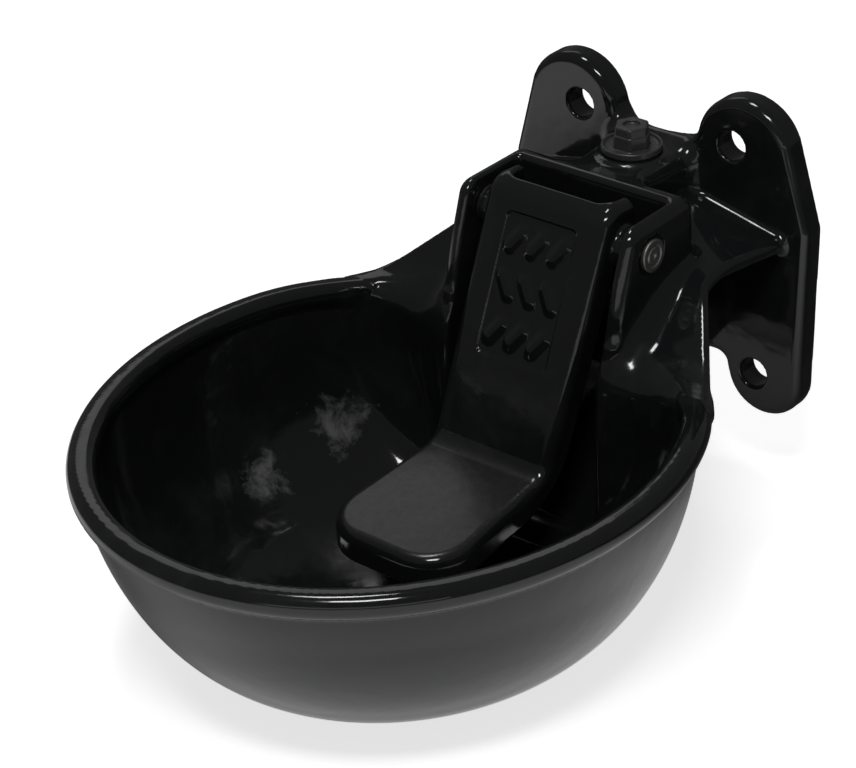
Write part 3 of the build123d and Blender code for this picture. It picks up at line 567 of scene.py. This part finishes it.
def paddle_distance(x, y, z):
    """Distance field of the paddle, in mm from the rim's centre, with its valve shut."""
    beside = np.abs(x)
    tongue = (z - BEND_Z - TONGUE_RISE * (y - BEND_Y)) / 1.003
    face = -LEAN_COS * (y - BEND_Y) + LEAN_SIN * (z - BEND_Z)
    along = LEAN_SIN * (y - BEND_Y) + LEAN_COS * (z - BEND_Z)
    cap = z - 56.0 + 0.09 * (y - 106.0)
    front = rounded(fillet(tongue, face, 4.5), cap, 8.0)
    # plan outline: widest at the tongue, with a round tip
    half = np.interp(y, [8.0, 58.0, 106.0, 130.0], [34.0, 31.1, 32.4, 32.4])
    tip = np.hypot(np.maximum(beside - 12.0, 0.0), np.maximum(7.0 - y, 0.0)) - 22.0
    plan = np.where(y < 7.0, tip, beside - half)
    # thick bar with a crowned front and rounded edges, hollowed from behind to leave the skirts
    crown = front + 0.0006 * np.maximum(beside - 8.0, 0.0) ** 2
    bar = rounded(crown, plan, 5.0)
    bar = rounded(bar, -front - BAR_THICK, 2.0)
    bar = rounded(bar, y - 123.0, 2.5)
    under = rounded(rounded(front + 6.0, plan + BAR_WALL, 3.0), -y - 8.0, 3.0)
    bar = rounded(bar, -under, 1.5)
    # panel sunk into the face, with a soft frame and three rows of slanting ribs
    up = along - PANEL_UP
    panel = rounded(beside - PANEL_HALF, np.abs(up) - PANEL_REACH, 3.0)
    bar = rounded(bar, -rounded(panel, -(face + 1.1), 0.9), 0.7)
    row = np.clip(np.round(up / ROW_STEP), -1, 1)
    column = np.clip(np.round(x / COLUMN_STEP), -1, 1)
    lean = np.where(row == 0, -RIB_LEAN, RIB_LEAN)
    u, v = x - COLUMN_STEP * column, up - ROW_STEP * row
    down_bar, off_bar = v * np.cos(lean) + u * np.sin(lean), u * np.cos(lean) - v * np.sin(lean)
    rib = np.hypot(np.maximum(np.abs(down_bar) - RIB_HALF, 0.0), off_bar)
    bar = fillet(bar, np.hypot(rib, face + RIB_DEEP) - RIB_ROUND, 1.2)
    # the cap is cut back between its skirts, clear of the crossbar
    notch = rounded(rounded(beside - NOTCH_HALF, 111.5 - y, 6.0), 42.0 - z, 3.0)
    bar = rounded(bar, -notch, 2.2)
    # pivot bosses, bored for the bushes, and the boss that pushes the valve
    boss = np.maximum(beside - 38.2, NOTCH_HALF - beside)
    boss = rounded(np.hypot(y - PIN_Y, z - PIN_Z) - 9.3, boss, 0.8)
    boss = np.maximum(boss, front + 2.0)
    bar = fillet(bar, boss, 2.0)
    pusher = rounded(np.hypot(x, z - VALVE_Z) - 7.0, np.maximum(y - 97.2, front + 3.0), 1.0)
    bar = fillet(bar, pusher, 2.0)
    return np.maximum(bar, -(np.hypot(y - PIN_Y, z - PIN_Z) - 6.5))


points, quads, normals = skin(
    paddle_distance, steps(-39.5, 0.8, 39.5), steps(-17.0, 1.1, 60.0, 0.9, 124.5), steps(-73.0, 0.95, 58.0))
paddle = piece("paddle_enamelled", points, quads, normals, "paddle", "enamel", "paddle")

# The same enamel where muzzles rub: on the tongue's level upper side it is dulled to a dusty grey. That grey is
# partly rubbed wear and partly a painted sheen for the light that the tongue's top mirrors.
rubbed_and_sheen_enamel = enamel.copy()
rubbed_and_sheen_enamel.name = "black_glass_enamel_rubbed_and_sheen"
tree = rubbed_and_sheen_enamel.node_tree
shader = next(n for n in tree.nodes if n.type == "BSDF_PRINCIPLED")
tint = tree.nodes["dried scale"]
place = next(n for n in tree.nodes if n.type == "TEX_COORD")
axes = add_node(tree, "ShaderNodeSeparateXYZ", links=[("Vector", place.outputs["Object"])])
low = add_node(tree, "ShaderNodeMapRange", interpolation_type="SMOOTHSTEP",
               links=[("Value", axes.outputs["Z"])], from_min=-0.098, from_max=-0.106)
shape = add_node(tree, "ShaderNodeNewGeometry")
facing = add_node(tree, "ShaderNodeSeparateXYZ", links=[("Vector", shape.outputs["Normal"])])
level_share = add_node(tree, "ShaderNodeMapRange", interpolation_type="SMOOTHSTEP",
                       links=[("Value", facing.outputs["Z"])], from_min=0.7, from_max=0.98)
grit = add_node(tree, "ShaderNodeTexNoise", scale=1 / 0.0035, detail=6.0, roughness=0.75,
                links=[("Vector", place.outputs["Object"])])
grit_share = add_node(tree, "ShaderNodeMapRange", links=[("Value", grit.outputs["Fac"])], from_min=0.3,
                      from_max=0.7, to_min=0.55)
# wear and painted sheen: low faces that look upwards are dulled and lightened in colour, broken up by the grit
wear_and_sheen = add_node(tree, "ShaderNodeMath", operation="MULTIPLY",
                links=[(0, low.outputs[0]), (1, level_share.outputs[0])])
wear_and_sheen = add_node(tree, "ShaderNodeMath", operation="MULTIPLY",
                links=[(0, wear_and_sheen.outputs[0]), (1, grit_share.outputs[0])])
dust_and_sheen = add_node(tree, "ShaderNodeMix", data_type="RGBA", links=[(0, wear_and_sheen.outputs[0]), (6, tint.outputs[2])])
dust_and_sheen.inputs[7].default_value = linear("#252525")
dull = add_node(tree, "ShaderNodeMapRange", links=[("Value", wear_and_sheen.outputs[0])], to_min=0.10, to_max=0.30)
tree.links.new(shader.inputs["Base Color"], dust_and_sheen.outputs[2])
tree.links.new(shader.inputs["Roughness"], dull.outputs[0])
paddle.data.materials.append(rubbed_and_sheen_enamel)

# ---------------------------------------------------------------- blanking plug
# Glass-filled nylon plug, injection moulded: hexagon with a step, dished flange with an upturned rim, and a
# shank that screws into the neck's unused port.


def hexagon(u, v, across, corner):
    """Distance to a hexagon of the given width across its flats, with rounded corners."""
    flats = [np.abs(u * math.cos(a) + v * math.sin(a)) for a in (0.0, math.pi / 3, 2 * math.pi / 3)]
    return rounded(rounded(flats[0] - across / 2, flats[1] - across / 2, corner), flats[2] - across / 2, corner)


FLANGE_RADIUS, DISH_RADIUS = 13.5, 12.1
HEX_LOWER, HEX_UPPER, HEX_CORNER = 15.0, 14.0, 0.9
SHANK_RADIUS, THREAD_DEPTH, PITCH = 10.2, 0.35, 1.814


def plug_distance(x, y, z):
    """Distance field of the plug, in mm from the rim's centre."""
    v = y - PORT_Y
    r = np.hypot(x, v)
    flange = rounded(r - FLANGE_RADIUS, np.maximum(52.8 - z, z - 55.8), 0.6)
    dish = rounded(r - DISH_RADIUS, 54.3 - z, 1.0)
    flange = rounded(flange, -dish, 0.5)
    head = rounded(hexagon(v, x, HEX_LOWER, HEX_CORNER), np.maximum(53.5 - z, z - 60.6), 0.4)
    upper = rounded(hexagon(v, x, HEX_UPPER, HEX_CORNER), np.maximum(53.5 - z, z - 64.6), 0.9)
    plug = fillet(flange, np.minimum(head, upper), 0.7)
    dimple = rounded(r - 3.6, 63.2 - z, 0.5)
    plug = rounded(plug, -dimple, 0.5)
    turn = (z - np.arctan2(v, x) * PITCH / (2 * math.pi)) / PITCH
    thread = THREAD_DEPTH * np.abs(turn % 1.0 - 0.5)
    shank = np.maximum(r - SHANK_RADIUS + thread, np.maximum(42.0 - z, z - 53.0))
    plug = np.minimum(plug, shank)
    return np.maximum(plug, -np.maximum(r - 7.3, z - 51.8))


points, quads, normals = skin(
    plug_distance, steps(-14.0, 0.5, 14.0), steps(150.0, 0.5, 178.0), steps(41.0, 0.5, 65.4))


# Glass-filled nylon: black, satin, with the fibres' fine grain and their paler mottle in its skin.
nylon, tree = new_material("black_glass_filled_nylon")
place = add_node(tree, "ShaderNodeTexCoord")
fibres = add_node(tree, "ShaderNodeTexNoise", scale=1 / 0.0012, detail=3.0, roughness=0.7,
                  links=[("Vector", place.outputs["Object"])])
finish_surface(tree, fibres.outputs["Fac"], ("#262627", "#454545"), (0.24, 0.36),
               fibres.outputs["Fac"], 0.25, 0.0001, ior=1.53)
plug = piece("top_plug_moulded", points, quads, normals, "bowl", "black_plastic", "top_plug")
plug.data.materials.append(nylon)

# ---------------------------------------------------------------- pivot pin
# Turned steel pin through both cheeks: flat head with a ring groove and a centre mark, and a clip groove at its
# far end. Its zinc has dulled to grey.

HEAD_RADIUS, HEAD_INNER, HEAD_OUTER = 7.3, 46.0, 48.2
PIN_END, CLIP_GROOVE = -52.0, -49.2


def pin_distance(x, y, z):
    """Distance field of the pin, in mm from the rim's centre."""
    r = np.hypot(y - PIN_Y, z - PIN_Z)
    shank = rounded(r - PIN_BORE, np.maximum(PIN_END - x, x - 47.0), 0.9)
    shank = np.maximum(shank, -np.maximum(4.1 - r, np.abs(x - CLIP_GROOVE) - 0.6))
    head = rounded(r - HEAD_RADIUS, np.maximum(HEAD_INNER - x, x - HEAD_OUTER), 0.7)
    head = rounded(head, -(np.hypot(r - 4.3, x - 48.5) - 0.8), 0.15)
    head = rounded(head, -(np.hypot(r, x - 49.0) - 1.5), 0.15)
    return np.minimum(shank, head)


points, quads, normals = skin(
    pin_distance, steps(-52.5, 0.4, -46.0, 4.0, 44.0, 0.3, 48.6), steps(106.2, 0.3, 121.8),
    steps(28.2, 0.3, 43.8))

# Zinc-plated steel, turned: a metal with cutting rings 0.5 mm apart about the pin's axis, dulled in patches.
turned, tree = new_material("turned_zinc_plated_steel")
place = add_node(tree, "ShaderNodeTexCoord")
centred = add_node(tree, "ShaderNodeMapping", links=[("Vector", place.outputs["Object"])])
centred.inputs["Location"].default_value = (0.0, 0.078, 0.022)
rings = add_node(tree, "ShaderNodeTexWave", wave_type="RINGS", rings_direction="X", scale=0.05 / 0.0005,
                 distortion=0.4, detail=1.0, links=[("Vector", centred.outputs[0])])
tarnish = add_node(tree, "ShaderNodeTexNoise", scale=1 / 0.004, detail=4.0, roughness=0.7,
                   links=[("Vector", place.outputs["Object"])])
finish_surface(tree, tarnish.outputs["Fac"], ("#6A6A68", "#B8B8B5"), (0.50, 0.38),
               rings.outputs["Fac"], 0.3, 0.00005, metallic=1.0)
pin = piece("pivot_pin_turned", points, quads, normals, "bowl", "steel", "pivot_pin")
pin.data.materials.append(turned)

# ---------------------------------------------------------------- bushes, washer and clip on the pin
# Two flanged bushes of black acetal carry the paddle on the pin. Outside the left cheek a pressed steel washer
# and a snap ring hold the pin in place.

# Acetal: waxy and satin, moulded, with faint flow marks a few millimetres apart.
acetal, tree = new_material("black_moulded_acetal")
place = add_node(tree, "ShaderNodeTexCoord")
flow = add_node(tree, "ShaderNodeTexNoise", scale=1 / 0.003, detail=2.0, distortion=1.5,
                links=[("Vector", place.outputs["Object"])])
finish_surface(tree, flow.outputs["Fac"], ("#161616", "#262626"), (0.30, 0.42),
               flow.outputs["Fac"], 0.12, 0.0001, ior=1.48)


def finish_node(name, material):
    """Gives a solid that keeps its own shape one material in all of its slots."""
    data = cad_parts[name].data
    data.materials.clear()
    data.materials.append(material)


for name in ("paddle_bush_left", "paddle_bush_right"):
    finish_node(name, acetal)

# Zinc plate on pressed steel: bright grey metal with soft cloudy spangle 2 mm across and fine scratches.
zinc, tree = new_material("zinc_plated_pressed_steel")
place = add_node(tree, "ShaderNodeTexCoord")
spangle = add_node(tree, "ShaderNodeTexNoise", scale=1 / 0.002, detail=4.0, roughness=0.65,
                   links=[("Vector", place.outputs["Object"])])
finish_surface(tree, spangle.outputs["Fac"], ("#8A8A88", "#BDBDBA"), (0.24, 0.40),
               spangle.outputs["Fac"], 0.2, 0.00005, metallic=1.0)
for name in ("pin_washer", "pin_clip"):
    finish_node(name, zinc)

# ---------------------------------------------------------------- valve body
# Turned brass sleeve that screws into the casting's bore and holds the seat, spring and strainer behind the
# paddle. Its outer end is what shows in the chamber.

# Free-cutting brass, turned: a yellow metal that water dulls towards brown, with tool marks 0.4 mm apart.
brass, tree = new_material("turned_brass")
place = add_node(tree, "ShaderNodeTexCoord")
centred = add_node(tree, "ShaderNodeMapping", links=[("Vector", place.outputs["Object"])])
centred.inputs["Location"].default_value = (0.0, 0.0, 0.063)
rings = add_node(tree, "ShaderNodeTexWave", wave_type="RINGS", rings_direction="Y", scale=0.05 / 0.0004,
                 distortion=0.3, links=[("Vector", centred.outputs[0])])
tarnish = add_node(tree, "ShaderNodeTexNoise", scale=1 / 0.006, detail=4.0, roughness=0.7,
                   links=[("Vector", place.outputs["Object"])])
finish_surface(tree, tarnish.outputs["Fac"], ("#7A5C2E", "#D8B765"), (0.40, 0.20),
               rings.outputs["Fac"], 0.25, 0.00005, metallic=1.0)
finish_node("valve_body", brass)

# ---------------------------------------------------------------- gaskets and seals
# Nitrile rubber rings cut from sheet: one under the plug, one under the valve body and the disc that shuts the
# seat.

# Nitrile rubber: matt, near black, with a dusty bloom and the sheet's fine cloth-like grain.
rubber, tree = new_material("matt_nitrile_rubber")
place = add_node(tree, "ShaderNodeTexCoord")
bloom = add_node(tree, "ShaderNodeTexNoise", scale=1 / 0.0016, detail=5.0, roughness=0.7,
                 links=[("Vector", place.outputs["Object"])])
finish_surface(tree, bloom.outputs["Fac"], ("#141414", "#2C2C2B"), (0.65, 0.85),
               bloom.outputs["Fac"], 0.3, 0.0001, ior=1.52)
for name in ("plug_gasket", "valve_gasket", "seal_disc"):
    finish_node(name, rubber)

# ---------------------------------------------------------------- nozzle, button and spring cage
# Natural acetal mouldings of the valve: the nozzle that aims the water down, the button that the paddle
# presses and the cage round the spring.

# Natural acetal: milky white, satin, a little light passes into it, with a water stain here and there.
milky, tree = new_material("natural_acetal")
place = add_node(tree, "ShaderNodeTexCoord")
stains = add_node(tree, "ShaderNodeTexNoise", scale=1 / 0.005, detail=4.0, roughness=0.6,
                  links=[("Vector", place.outputs["Object"])])
shader = finish_surface(tree, stains.outputs["Fac"], ("#C9C6BC", "#E9E8E2"), (0.42, 0.28),
                        stains.outputs["Fac"], 0.08, 0.0001, ior=1.48, subsurface_weight=0.15)
shader.inputs["Subsurface Radius"].default_value = (0.002, 0.002, 0.0015)
for name in ("valve_nozzle", "stem_button", "spring_cage"):
    finish_node(name, milky)

# ---------------------------------------------------------------- stem, nut, washer, spring and strainer
# The stainless parts of the valve: the stem that the button pushes, the nut and washer that clamp the seal to
# it, the spring that shuts it and the gauze strainer behind it.

# Stainless steel, drawn and turned: cool grey metal with drawing lines 0.3 mm apart and a light film of scale.
stainless, tree = new_material("drawn_stainless_steel")
place = add_node(tree, "ShaderNodeTexCoord")
drawn = add_node(tree, "ShaderNodeTexWave", wave_type="BANDS", bands_direction="DIAGONAL", scale=0.05 / 0.0003,
                 distortion=2.0, detail=2.0, links=[("Vector", place.outputs["Object"])])
film = add_node(tree, "ShaderNodeTexNoise", scale=1 / 0.004, detail=3.0,
                links=[("Vector", place.outputs["Object"])])
finish_surface(tree, film.outputs["Fac"], ("#9C9B97", "#C4C4C0"), (0.36, 0.20),
               drawn.outputs["Fac"], 0.15, 0.00003, metallic=1.0)
for name in ("valve_stem", "stem_nut", "seal_washer", "strainer"):
    finish_node(name, stainless)

# ---------------------------------------------------------------- return spring
# Compression spring coiled from 1 mm stainless wire between the seal's washer and the end of the cage. The stem
# shortens it by as much as it moves, so the coils close up as the paddle goes down.

TURNS = 5
WIRE, COIL = 0.5, 6.09                      # mm: radius of the wire, and of the coil at the wire's centre
SPRING_LOW, SPRING_HIGH = 155.81, 169.49    # mm from the rim's centre, the spring's two ends


def spring_wire(t, turn):
    """Points of the wire, t of the way along it and turn round its own axis. The coil climbs by
    t - 0.6 sin(2 pi t) / 2 pi of its length, so its end turns lie closed, and the wire's radius is added along
    the coil's own radius and its axis."""
    angle = 2 * math.pi * TURNS * t
    climb = t - 0.6 * np.sin(2 * math.pi * t) / (2 * math.pi)
    outward, along = WIRE * np.cos(turn), WIRE * np.sin(turn)
    y = SPRING_LOW + WIRE + (SPRING_HIGH - SPRING_LOW - 2 * WIRE) * climb + along
    return np.stack([(COIL + outward) * np.cos(angle), y, (COIL + outward) * np.sin(angle) + VALVE_Z], -1)


rings, sides = TURNS * 48 + 1, 14
t, turn = np.meshgrid(np.linspace(0.0, 1.0, rings), np.arange(sides) * 2 * math.pi / sides, indexing="ij")
wire = spring_wire(t, turn)
points = wire.reshape(-1, 3)
normals = (points - wire.mean(1, keepdims=True).repeat(sides, 1).reshape(-1, 3)) / WIRE
ring, side = np.meshgrid(np.arange(rings - 1), np.arange(sides), indexing="ij")
here, there = ring * sides + side, ring * sides + (side + 1) % sides
quads = np.stack([here, there, there + sides, here + sides], -1).reshape(-1, 4)
# the wire's cut ends: fans round one middle point each
side = np.arange(sides)
last = (rings - 1) * sides
start = np.stack([(side + 1) % sides, side, np.full(sides, len(points))], -1)
end = np.stack([last + side, last + (side + 1) % sides, np.full(sides, len(points) + 1)], -1)
middles = spring_wire(np.array([0.0, 1.0]), 0.0) - [[WIRE, 0.0, 0.0]]
points = np.concatenate([points, middles])
normals = np.concatenate([normals, [[0.0, 0.0, -1.0], [0.0, 0.0, 1.0]]])
triangles = np.concatenate([quads[:, [0, 1, 2]], quads[:, [0, 2, 3]], start, end])
coil = piece("return_spring_coiled", points, triangles, normals, "bowl", "stainless", "return_spring")
coil.data.materials.append(stainless)
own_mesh(coil)
